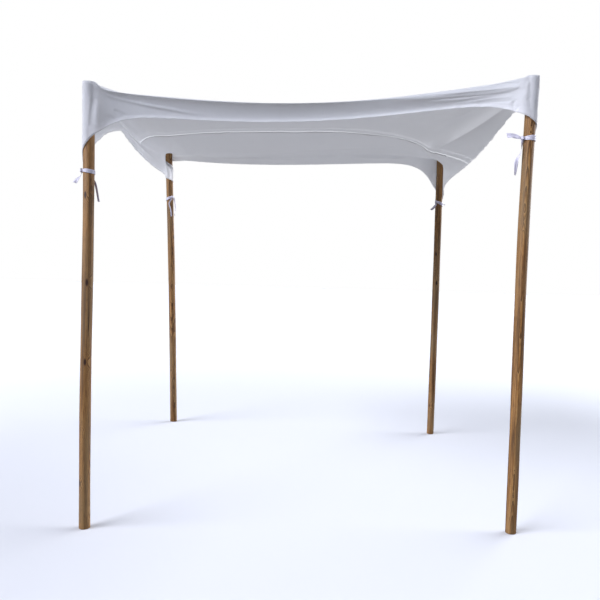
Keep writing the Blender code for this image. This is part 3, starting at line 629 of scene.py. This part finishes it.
def clothPoints(u, v):
    # the underside of the cloth: the flat top, then the roll over the fold and down to the hem
    result = topPoints(u, v)
    ring = np.maximum(np.abs(u), np.abs(v))
    frontBack = np.abs(v) >= np.abs(u)
    hoodRadius = poleRadius + cloth["hoodGap"]
    for side, edge in edges.items():
        if side in ("front", "back"):
            mine = frontBack & ((v < 0) == (side == "front"))
        else:
            mine = ~frontBack & ((u < 0) == (side == "left"))
        mine &= ring > cloth["rollStart"]
        r = ring[mine]
        s = (u if side in ("front", "back") else v)[mine] / r
        startU, startV = u[mine] / r * cloth["rollStart"], v[mine] / r * cloth["rollStart"]
        s = s * (1 + cloth["gather"] * (1 - s * s))
        corner = nearPole(s, cloth["cornerReach"])
        foldZ = foldHeight(side, s)
        fold = edgePoints(side, s, foldZ, poleRadius + cloth["foldGap"], edge["foldPull"])
        # over the roll
        start = topPoints(startU, startV)
        step = 1e-4
        before = topPoints(startU * (1 - step), startV * (1 - step))
        slope = (start - before) / (step * cloth["rollStart"])
        leave = start + slope * (cloth["foldRing"] - cloth["rollStart"]) / 3
        span = np.linalg.norm(fold - start, axis=1)[:, None]
        angle = math.radians(edge["foldTurn"]) * (1 - corner)
        inward = (start - fold) * (1, 1, 0)
        inward = inward / np.linalg.norm(inward, axis=1)[:, None] * np.cos(angle)[:, None]
        inward[:, 2] = np.sin(angle)
        t = np.clip((r - cloth["rollStart"]) / (cloth["foldRing"] - cloth["rollStart"]), 0, 1)
        roll = blendCurve((start, leave, fold + inward * span * cloth["bendShare"], fold), t)
        # down the skirt
        hemZ = foldZ - hemDepth(side, s)
        drop = foldZ - hemZ
        hem = edgePoints(side, s, hemZ, hoodRadius, edge["hemPull"])
        change = edge["lastTurn"] - edge["skirtTurn"]
        angle = np.radians(edge["skirtTurn"] + change * smoothStep((s - 0.15) / 0.45))
        angle = angle + (math.pi / 2 - angle) * corner
        away = np.column_stack((np.outer(np.cos(angle), edgeWays[side][0]), -np.sin(angle)))
        lift = cloth["shoulderRise"] + cloth["shoulderGain"] * nearPole(s, cloth["shoulderReach"])
        shoulder = edgePoints(side, s, hemZ + drop * lift, hoodRadius, edge["hemPull"])
        shoulder[:, :2] -= np.outer(edge["tuck"] * (1 - corner), edgeWays[side][0])
        t = np.clip((r - cloth["foldRing"]) / (1 - cloth["foldRing"]), 0, 1)
        skirt = blendCurve((fold, fold + away * drop[:, None] * cloth["bendShare"], shoulder, hem), t)
        skirt[:, :2] -= np.outer(grooveDepth(edge, s, foldZ - skirt[:, 2]), edgeWays[side][0])
        toHem = (1 - r) / (1 - cloth["foldRing"]) * drop
        pucker = np.sin(61 * s + 2.0 * np.sin(17 * s)) + 0.6 * np.sin(139 * s + 1.3)
        curl = hemCurl["out"] * (1 + hemCurl["pucker"] * pucker) * np.exp(-((toHem / hemCurl["reach"]) ** 2))
        skirt[:, :2] += np.outer(curl * (1 - nearPole(s, 0.06)), edgeWays[side][0])
        result[mine] = np.where((r <= cloth["foldRing"])[:, None], roll, skirt)
    return clearPoles(windHoods(result, u, v), ring)


def grooveDepth(edge, s, below):
    # the hollow that runs along under a fold, deepest at grooveAt below where it starts
    starts = edge["grooveDrop"] * smoothStep((s - 0.35) / 0.35)
    x = np.maximum(0.0, below - starts) / cloth["grooveAt"]
    fade = (1 - nearPole(s, 0.07)) * (1 - 0.55 * smoothStep((s + 0.05) / 0.45))
    return edge["groove"] * fade * x * np.exp(1 - x)


def windHoods(point, u, v):
    # turns the lower part of a hood round its pole, as the tie pulls its tip
    ring = np.maximum(np.abs(u), np.abs(v))
    endwise = np.abs(v) >= np.abs(u)
    along = np.where(endwise, u, v) / np.maximum(ring, 1e-6)
    along = along * (1 + cloth["gather"] * (1 - along * along))
    for name, wind in hoodTurns.items():
        pole = poles[name]
        wayU, wayV = np.sign(pole["top"][0]), np.sign(pole["top"][1])
        mine = (u * wayU > 0) & (v * wayV > 0) & (ring > cloth["foldRing"])
        reach = np.where(endwise, wind["reach"][0], wind["reach"][1])
        held = np.exp(-(((1 - np.abs(along)) / reach) ** 2))
        lower = smoothStep((ring - cloth["foldRing"]) / (1 - cloth["foldRing"])) ** wind["late"]
        share = (held * lower)[mine]
        away = point[mine, :2] - poleAxis(name, point[mine, 2])
        distance = np.hypot(away[:, 0], away[:, 1])
        angle = np.arctan2(away[:, 1], away[:, 0]) + math.radians(wind["turn"]) * share
        close = smoothStep(share * abs(wind["turn"]) / 90)
        distance = distance + (poleRadius + cloth["hoodGap"] - distance) * close
        spin = np.stack((np.cos(angle), np.sin(angle)), axis=-1)
        point[mine, :2] = poleAxis(name, point[mine, 2]) + spin * distance[:, None]
    return point


def smoothPath(points, count):
    # a Catmull-Rom curve through the points, with the end points doubled
    points = np.array([points[0], *points, points[-1]], float)
    out = []
    for x in np.linspace(0, len(points) - 3 - 1e-6, count):
        i, t = int(x), x - int(x)
        a, b, c, d = points[i:i + 4]
        square, cube = 2 * a - 5 * b + 4 * c - d, 3 * b - a - 3 * c + d
        out.append(0.5 * (2 * b + (c - a) * t + square * t**2 + cube * t**3))
    return np.array(out)


def foldHeights(u, v):
    # how far the folds lift each point of the cloth along its normal
    place = np.stack((u, v), axis=-1) * cloth["metresPerUnit"]
    total = np.zeros(len(u))
    for fold in folds:
        path = smoothPath(fold["path"], 12 * len(fold["path"])) * cloth["metresPerUnit"]
        best = np.full(len(u), np.inf)
        share = np.zeros(len(u))
        for i in range(len(path) - 1):
            step = path[i + 1] - path[i]
            t = np.clip((place - path[i]) @ step / (step @ step), 0, 1)
            away = np.linalg.norm(place - path[i] - t[:, None] * step, axis=1)
            closer = away < best
            best[closer] = away[closer]
            share[closer] = ((i + t) / (len(path) - 1))[closer]
        marks = np.linspace(0, 1, len(fold["height"]))
        height = np.interp(share, marks, fold["height"])
        width = np.interp(share, np.linspace(0, 1, len(fold["width"])), fold["width"])
        first, last = fold["soft"]
        height = height * smoothStep(share / max(first, 1e-3)) * smoothStep((1 - share) / max(last, 1e-3))
        if fold.get("sharp"):
            total += height * np.exp(-best / width)
        else:
            total += height * np.exp(-((best / width) ** 2))
    return total


def clearPoles(point, ring):
    # lifts the cloth over a pole's flat end, and keeps it outside the pole below that
    hoodRadius = poleRadius + cloth["hoodGap"]
    for name, pole in poles.items():
        top = pole["top"][2]
        away = point[:, :2] - poleAxis(name, np.minimum(point[:, 2], top))
        distance = np.hypot(away[:, 0], away[:, 1])
        near = distance < cloth["capRange"]
        clear = np.maximum(0.0, distance - poleRadius - cloth["restGap"])
        slack = cloth["capSlope"] * clear
        raised = near & (ring <= cloth["foldRing"] + 1e-6)
        point[raised, 2] = np.maximum(point[raised, 2], (top + cloth["touchGap"] - slack)[raised])
        pushed = near & (ring >= cloth["foldRing"] - 1e-6) & (distance < hoodRadius)
        outward = away / np.maximum(distance, 1e-6)[:, None]
        point[pushed, :2] += (outward * (hoodRadius - distance)[:, None])[pushed]
    return point


def gridLines():
    # close together at the roll, the skirt and the hem
    marks = (0, 0.45, cloth["rollStart"], cloth["foldRing"], cloth["hemStart"])
    half = [np.linspace(low, high, steps, endpoint=False)
            for low, high, steps in zip(marks, marks[1:], (20, 24, 24, 37))]
    half = np.concatenate((*half, np.linspace(cloth["hemStart"], 1.0, 5)))
    return np.concatenate((-half[:0:-1], half))


def clothSurface(u, v):
    # points of the underside with their folds, and the outward normals there
    step = 1e-3
    point = clothPoints(u, v)
    across = clothPoints(u + step, v) - clothPoints(u - step, v)
    normal = np.cross(across, clothPoints(u, v + step) - clothPoints(u, v - step))
    normal /= np.linalg.norm(normal, axis=1)[:, None]
    return point + normal * foldHeights(u, v)[:, None], normal


def makeCloth():
    lines = gridLines()
    count = len(lines)
    u, v = np.meshgrid(lines, lines)
    point = clothPoints(u.ravel(), v.ravel()).reshape(count, count, 3)
    across = np.gradient(point, axis=1)
    along = np.gradient(point, axis=0)
    normal = np.cross(across, along)
    normal /= np.linalg.norm(normal, axis=2)[:, :, None]
    point = point + normal * foldHeights(u.ravel(), v.ravel()).reshape(count, count, 1)
    ring = np.maximum(np.abs(u), np.abs(v)).ravel()
    point = clearPoles(point.reshape(-1, 3), ring).reshape(count, count, 3)
    bm = bmesh.new()
    bmesh.ops.create_grid(bm, x_segments=count - 1, y_segments=count - 1, size=0.5)
    flat = bm.loops.layers.uv.new("flat")
    doubled = bm.verts.layers.deform.verify()
    place = {}
    for vert in bm.verts:
        i = round((vert.co.x + 0.5) * (count - 1))
        j = round((vert.co.y + 0.5) * (count - 1))
        place[vert] = (lines[i] * cloth["metresPerUnit"], lines[j] * cloth["metresPerUnit"])
        vert.co = point[j, i]
        ring = max(abs(lines[i]), abs(lines[j]))
        vert[doubled][0] = 1.0 if ring >= cloth["hemStart"] - 1e-6 else cloth["thick"] / cloth["hemThick"]
    for face in bm.faces:
        for loop in face.loops:
            loop[flat].uv = place[loop.vert]
    piece = newPiece("canopy_cloth", bm, jersey, recalculate=False)
    group = piece.vertex_groups.new(name="doubled")
    solid = piece.modifiers.new("thickness", "SOLIDIFY")
    solid.thickness = cloth["hemThick"]
    solid.offset = 1
    solid.vertex_group = group.name
    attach(piece, "root")
    soft = [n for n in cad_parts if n.startswith(("cloth_", "skirt_", "hood_", "hem_"))]
    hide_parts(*soft)


makeCloth()
print("cloth made")


def addStrip(bm, flat, rows, width, start):
    # adds a narrow strip from rows of points, each row across it, and lays it out flat after the last one
    count, across = rows.shape[:2]
    made = bmesh.ops.create_grid(bm, x_segments=count - 1, y_segments=across - 1, size=0.5)
    steps = np.linalg.norm(np.diff(rows.mean(axis=1), axis=0), axis=1)
    length = np.concatenate(([0.0], np.cumsum(steps))) + start
    place = {}
    for vert in made["verts"]:
        i, j = round((vert.co.x + 0.5) * (count - 1)), round((vert.co.y + 0.5) * (across - 1))
        place[vert] = (length[i], width * j / (across - 1))
        vert.co = rows[i, j]
    for face in {face for vert in made["verts"] for face in vert.link_faces}:
        for loop in face.loops:
            loop[flat].uv = place[loop.vert]
    return float(length[-1])


def makeRibbon(name, strips, width, material, thickness):
    # one piece from one or more strips
    bm = bmesh.new()
    flat = bm.loops.layers.uv.new("flat")
    length = 0.0
    for rows in strips:
        length = addStrip(bm, flat, rows, width, length)
    piece = newPiece(name, bm, material, recalculate=False)
    solid = piece.modifiers.new("thickness", "SOLIDIFY")
    solid.thickness = thickness
    solid.offset = 0
    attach(piece, "root")
    return piece


def makeSeam():
    u = np.linspace(seam["from"], seam["to"], seam["steps"])
    point, normal = clothSurface(u, np.zeros_like(u))
    front = np.tile((0.0, -1.0, 0.0), (len(u), 1))
    front -= normal * (front * normal).sum(axis=1)[:, None]
    lean = np.radians(seam["lean"] + 12 * np.sin(23 * u) + 8 * np.sin(57 * u + 1))
    hang = -normal * np.cos(lean)[:, None] + front * np.sin(lean)[:, None]
    tall = seam["tall"] * (1 + 0.12 * np.sin(41 * u))
    top = point - normal * seam["gap"]
    rows = np.stack([top + hang * (tall * t)[:, None] for t in (0, 0.35, 0.7, 1.0)], axis=1)
    piece = makeRibbon("centre_seam", [rows], seam["tall"], seamHighlightJersey, seam["thick"])
    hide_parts("seam_centre")


makeSeam()
print("seam made")


def tiePoint(name, angle, distance, drop):
    z = poles[name]["top"][2] - ties[name]["drop"] - drop
    middle = poleAxis(name, z)
    x, y = middle[..., 0] + distance * np.cos(angle), middle[..., 1] + distance * np.sin(angle)
    return np.stack((x, y, z), axis=-1)


def knotLift(tie):
    # how far the winding's lean lifts it at the knot
    return tie["lean"] * math.cos(math.radians(tie["knot"] - tie["leanAt"]))


def windingRows(name):
    # two turns round the pole, from the knot to the knot
    tie = ties[name]
    turns = np.linspace(0.02, 1.98, ribbon["turnSteps"])
    angle = np.radians(tie["knot"]) + 2 * np.pi * turns
    parted = (1 - np.cos(2 * np.pi * turns)) / 2
    rise = np.where(turns < 1, 1, -1) * tie["spread"] * parted
    rise = rise + tie["lean"] * np.cos(angle - math.radians(tie["leanAt"]))
    rows = []
    for w in np.linspace(-0.5, 0.5, ribbon["turnAcross"]):
        fold = ribbon["crinkle"] * np.sin(2 * np.pi * (2.3 * w + 0.45 * np.sin(2 * angle + 1) + 0.3 * turns))
        distance = ribbon["inner"] + ribbon["crinkle"] + ribbon["step"] * smoothStep(turns - 0.5) + fold
        wide = tie["ribbon"] * (1 + 0.10 * np.sin(3 * angle))
        rows.append(tiePoint(name, angle, distance, -rise - w * wide))
    return np.stack(rows, axis=1)


def knotRows(name):
    tie = ties[name]
    deep, wide, tall = ribbon["knotSize"]
    knotAngle = math.radians(tie["knot"])
    out = np.array((math.cos(knotAngle), math.sin(knotAngle), 0.0))
    side = np.array((-out[1], out[0], 0.0))
    high = np.array((0.0, 0.0, 1.0))
    centre = tiePoint(name, knotAngle, ribbon["knotAt"], -knotLift(tie))
    strips = []
    for lap, second, across, reach in zip(knotLaps, (high, side), (side, high), (tall, wide)):
        t = np.radians(lap["from"] + np.linspace(0, 1, ribbon["knotSteps"]) * lap["sweep"])
        path = centre + np.outer(np.cos(t) * (deep + lap["deeper"]), out) + np.outer(np.sin(t) * reach, second)
        facing = np.outer(np.cos(t), out) + np.outer(np.sin(t), second)
        rows = []
        for w in np.linspace(-0.5, 0.5, ribbon["across"]):
            bulge = 0.0012 * (1 - 4 * w * w) + 0.0004 * np.sin(12 * w + 3 * t)
            skewed = across + 0.35 * w * second
            narrow = lap["width"] * w * (1 + 0.15 * np.sin(2 * t))
            rows.append(path + np.outer(narrow, skewed) + facing * bulge[:, None])
        strips.append(np.stack(rows, axis=1))
    return strips


def tailRows(name, tail, number):
    # a tail from the knot to its slanting cut end, creased along and twisted as it hangs
    tie = ties[name]
    lift = knotLift(tie)
    marks = [tiePoint(name, math.radians(angle), distance, drop - lift * max(0.0, 1 - drop / 0.05))
             for angle, distance, drop in tail["path"]]
    path = smoothPath(marks, ribbon["tailSteps"])
    share = np.linspace(0, 1, len(path))
    along = np.gradient(path, axis=0)
    along /= np.linalg.norm(along, axis=1)[:, None]
    face = np.column_stack((path[:, :2] - poleAxis(name, path[:, 2]), np.zeros(len(path))))
    if tail["face"]:
        face = np.tile(tail["face"], (len(path), 1))
    across = np.cross(along, face)
    across /= np.linalg.norm(across, axis=1)[:, None]
    face = np.cross(across, along)
    twist = np.radians(np.interp(share, np.linspace(0, 1, len(tail["twists"])), tail["twists"]))
    turned = across * np.cos(twist)[:, None] + face * np.sin(twist)[:, None]
    facing = np.cross(turned, along)
    width = np.interp(share, np.linspace(0, 1, len(tail["widths"])), tail["widths"])
    rows = []
    for w in np.linspace(-0.5, 0.5, ribbon["across"]):
        crease = ribbon["wave"] * smoothStep(share * 3) * (
            0.5 * np.cos(2 * np.pi * (1.2 * w + 0.8 * share + 0.3 * number)) * (width / 0.02)
            + 0.5 * np.sin(11 * share + 2.1 * number))
        cut = ribbon["slant"] * width * w * share**6
        rows.append(path + turned * (width * w)[:, None] + facing * crease[:, None] + along * cut[:, None])
    return np.stack(rows, axis=1)


def makeTie(name):
    tie = ties[name]
    strips = [windingRows(name), *knotRows(name)]
    strips += [tailRows(name, tail, number) for number, tail in enumerate(tie["tails"])]
    piece = makeRibbon("ribbon_tie_" + name, strips, tie["ribbon"], satin, ribbon["thick"])
    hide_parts("tie_band_" + name, "tie_knot_" + name, *(f"tie_tail_{name}_{i}" for i in (1, 2)))


for tieName in ties:
    makeTie(tieName)
print("ties made")
